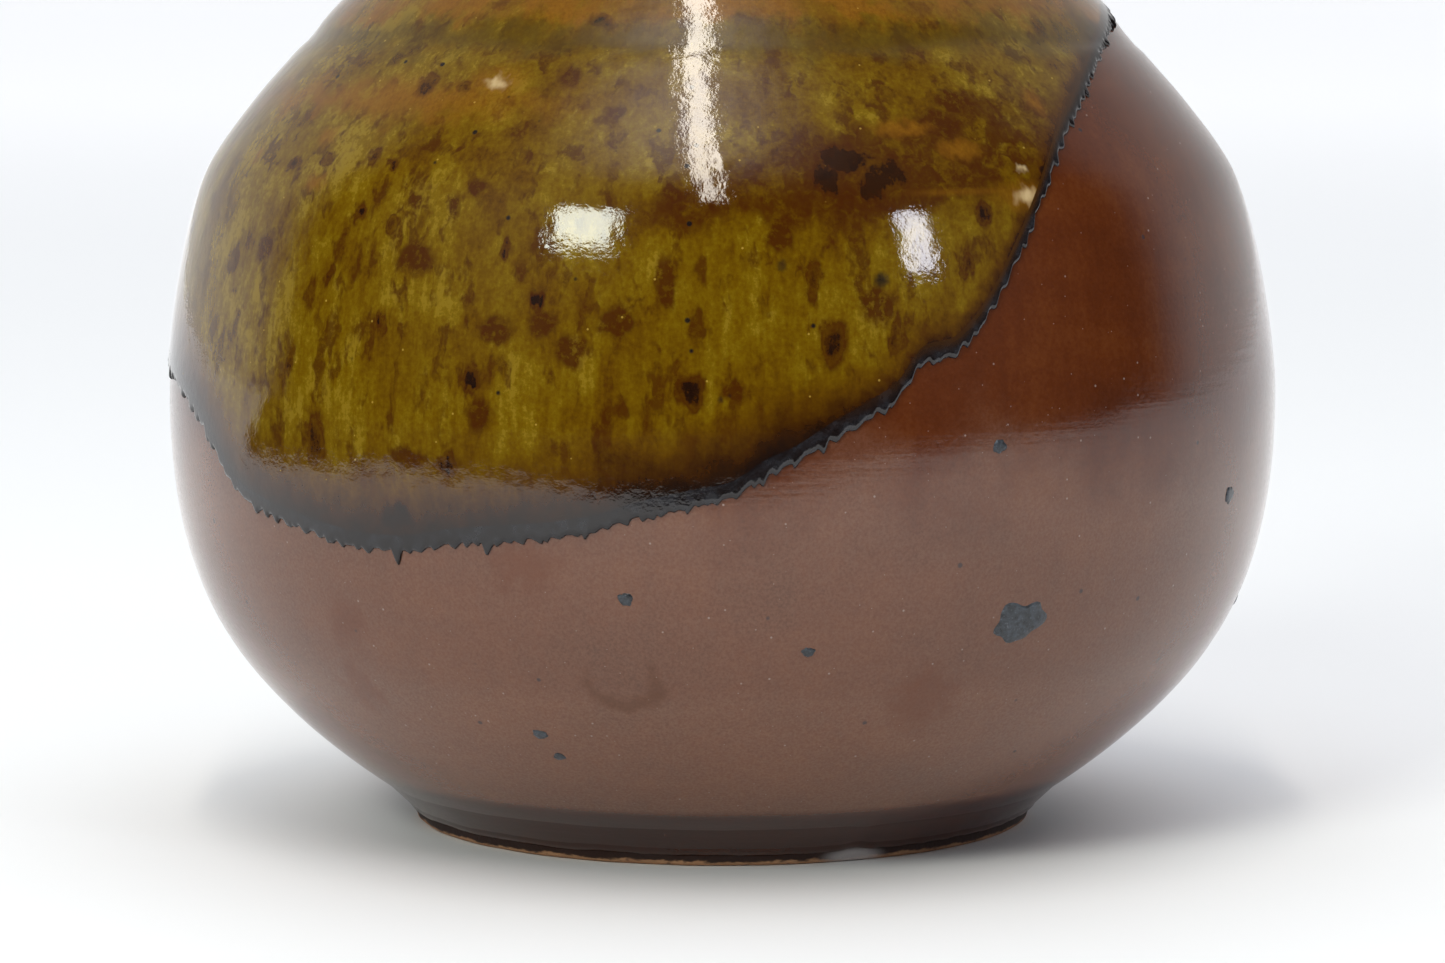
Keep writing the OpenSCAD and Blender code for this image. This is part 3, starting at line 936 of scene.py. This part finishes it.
def build_lights():
    for name, place_mm, size, radiance, colour, kind in LAMPS:
        aim = (Vector(POT_MIDDLE) - Vector(place_mm)).to_track_quat("-Z", "Y")
        lamp = add_area(name, place_mm, size, radiance, colour, aim.to_euler())
        lamp.visible_glossy = kind == "shine"
        lamp.visible_diffuse = kind == "matt"
    near, end = (np.array(p) for p in STREAK)
    turn_z = math.atan2(end[0] - near[0], near[1] - end[1])
    add_area("ceiling_lamp", (near + end) / 2, (STREAK_W, np.linalg.norm(end - near)),
             STREAK_RADIANCE, STREAK_COLOUR, (0, 0, turn_z))


# Glows that reflections see: azimuth from the front, height, spread, strength
GLOWS = [(-24, 76, 14, 2.1), (-50, 36, 22, 0.28), (55, 20, 22, 0.12)]
FILL = (0.97, 1.01, 1.07)           # colour of the light on matt surfaces
BACKDROP = (0.965, 0.965, 0.975)    # what the camera sees behind the paper


def build_world():
    """A tent of pale paper behind and beside the pot, in a dim room. The fill that
    lights matt surfaces is softer and bluer than what the glaze reflects."""
    world = bpy.data.worlds.new("tent")
    bpy.context.scene.world = world
    world.use_nodes = True
    n = Nodes(world.node_tree)
    n.tree.nodes.clear()
    way = n.new("ShaderNodeTexCoord").outputs["Generated"]
    x, y, z = n.new("ShaderNodeSeparateXYZ", {0: way}).outputs
    level = n.math("SQRT", n.add(n.times(x, x), n.times(y, y)))
    behind = n.ramp(n.math("DIVIDE", y, n.highest(level, 0.001)), 0.1, 0.48)
    paper = n.highest(n.add(0.87, n.times(z, -0.83)), 0.1)
    seen = n.add(0.02, n.times(behind, paper), n.ramp(z, 0.6, 0.9, 0, 0.06))
    for azimuth, up, spread, strength in GLOWS:
        a, e = math.radians(azimuth), math.radians(up)
        aim = (math.sin(a) * math.cos(e), -math.cos(a) * math.cos(e), math.sin(e))
        near = n.new("ShaderNodeVectorMath", {0: way, 1: aim}, operation="DOT_PRODUCT")
        glow = n.math("POWER", n.highest(near.outputs["Value"], 0.0),
                      2 / math.radians(spread)**2)
        seen = n.add(seen, n.times(glow, strength))
    # The left side of the tent is nearer to the window and brighter.
    side = n.times(paper, n.ramp(x, -0.6, 0.6, 1.6, 1.15))
    fill = n.add(0.015, n.highest(n.times(behind, side), n.ramp(z, 0.6, 0.8, 0, 1.42)))
    ray = n.new("ShaderNodeLightPath").outputs
    # Each layer covers the one before it for one kind of ray.
    layers = [((1, 1, 1), seen, None), (FILL, fill, ray["Is Diffuse Ray"]),
              (BACKDROP, 1.0, ray["Is Camera Ray"])]
    light = None
    for colour, strength, when in layers:
        back = n.new("ShaderNodeBackground", {"Color": (*colour, 1),
                                              "Strength": strength}).outputs[0]
        if when is not None:
            back = n.new("ShaderNodeMixShader", {0: when, 1: light, 2: back}).outputs[0]
        light = back
    end = n.new("ShaderNodeOutputWorld")
    n.tree.links.new(light, end.inputs[0])


def set_view():
    view = bpy.context.scene.view_settings
    view.view_transform, view.look = "Standard", "None"


def main():
    build_camera()
    build_stage()
    build_lights()
    build_world()
    set_view()
    looks = [
        (clay_piece, clay_material), (brown_piece, brown_material),
        (liner_piece, liner_material), (olive_piece, olive_material),
        (bead_piece, bead_material), (splash_piece, splash_material),
    ]
    for make, cover in looks:
        make().data.materials.append(cover())
    bpy.context.view_layer.update()


main()
